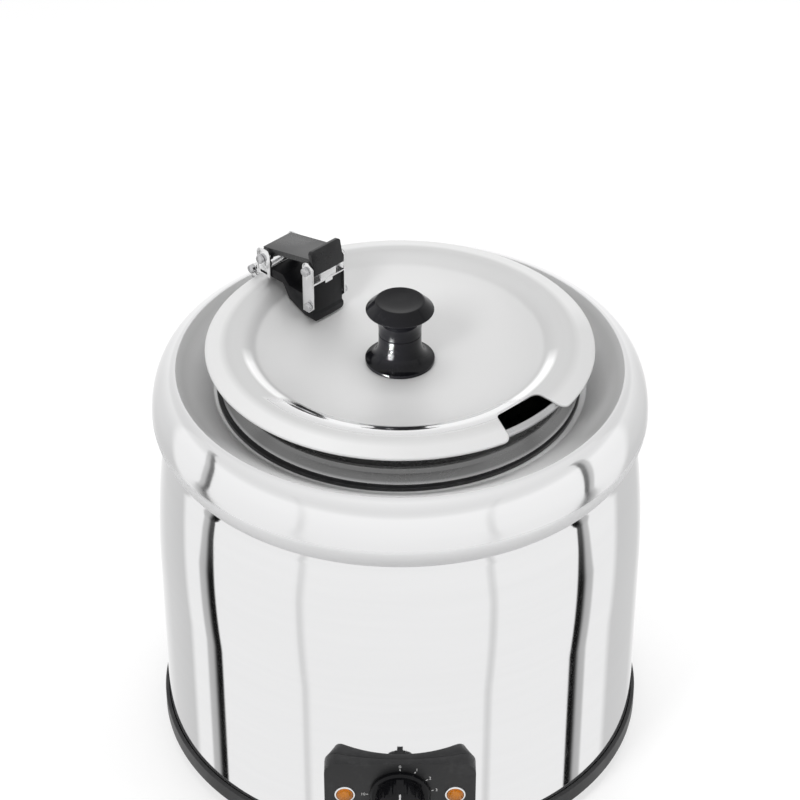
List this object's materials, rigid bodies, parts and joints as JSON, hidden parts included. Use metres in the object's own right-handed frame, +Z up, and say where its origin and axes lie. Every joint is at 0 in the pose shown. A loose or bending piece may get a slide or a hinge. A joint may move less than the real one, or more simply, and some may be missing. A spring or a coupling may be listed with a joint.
{
  "type": "electric soup kettle",
  "caption": "Polished steel electric soup kettle with a water bath, a lift-out pot, a hinged dished lid with a ladle notch, and a front temperature knob.",
  "frame": {"origin": "on the table, under the middle of the base", "axes": "+Z up, -Y towards the front with the control knob, +X to the viewer's right"},
  "size_m": [0.352, 0.3918, 0.3679],
  "materials": {
    "polished_steel": "mirror-polished stainless steel",
    "satin_steel": "satin stainless steel",
    "clip_steel": "bright stamped steel",
    "fastener_steel": "plain steel",
    "heater_steel": "heat-darkened steel tube",
    "black_gloss": "glossy black plastic",
    "black_matte": "fine-grained black plastic",
    "foot_rubber": "soft black rubber",
    "thermostat_case": "cream moulded plastic",
    "bulb_copper": "drawn copper",
    "lamp_amber": "clear amber lens",
    "wire_red": "heat-resistant wire sleeve"
  },
  "bodies": {
    "kettle": {"outer_shell": "polished_steel", "top_collar": "polished_steel", "water_well": "satin_steel", "base_ring": "black_matte", "bottom_cover": "satin_steel", "feet": "foot_rubber", "cover_screws": "fastener_steel", "heating_element": "heater_steel", "element_clamp": "satin_steel", "tie_stud": "fastener_steel", "stud_nuts": "fastener_steel", "thermal_cutout": "black_matte", "thermostat_body": "thermostat_case", "thermostat_bulb": "bulb_copper", "dial_plate": "black_matte", "dial_screws": "fastener_steel", "lamp_lenses": "lamp_amber", "lamp_bodies": "black_matte", "terminal_block": "thermostat_case", "wiring": "wire_red", "cord_gland": "black_matte", "gland_locknut": "black_matte"},
    "control": {"control_knob": "black_gloss", "thermostat_shaft": "fastener_steel"},
    "pot": {"soup_pot": "satin_steel", "rim_clamp": "clip_steel", "hinge_pin": "clip_steel"},
    "lid": {"lid": "polished_steel", "lid_knob_base": "black_gloss", "lid_knob_cap": "black_gloss", "knob_screw": "fastener_steel", "knob_washer": "fastener_steel", "hinge_leaf": "clip_steel", "hinge_saddle": "black_gloss", "saddle_rivets": "clip_steel", "rear_bracket": "clip_steel", "front_bracket": "clip_steel", "spring_tongue": "clip_steel", "lever_pin": "clip_steel", "front_pins": "clip_steel"},
    "lever": {"release_lever": "black_gloss"}
  },
  "joints": [
    {"name": "control_turn", "type": "hinge", "parent": "kettle", "child": "control", "pos_m": [0, -0.178, 0.066], "axis": [0, 1, 0], "range_deg": [0, 270]},
    {"name": "pot_lift", "type": "slide", "parent": "kettle", "child": "pot", "axis": [0, 0, 1], "range_m": [0, 0.26]},
    {"name": "lid_hinge", "type": "hinge", "parent": "pot", "child": "lid", "pos_m": [-0.0997, 0.09628, 0.32325], "axis": [-0.6947, -0.7193, 0], "range_deg": [0, 100]},
    {"name": "lever_release", "type": "hinge", "parent": "lid", "child": "lever", "pos_m": [-0.08632, 0.08336, 0.34336], "axis": [-0.6947, -0.7193, 0], "range_deg": [0, 60]}
  ]
}
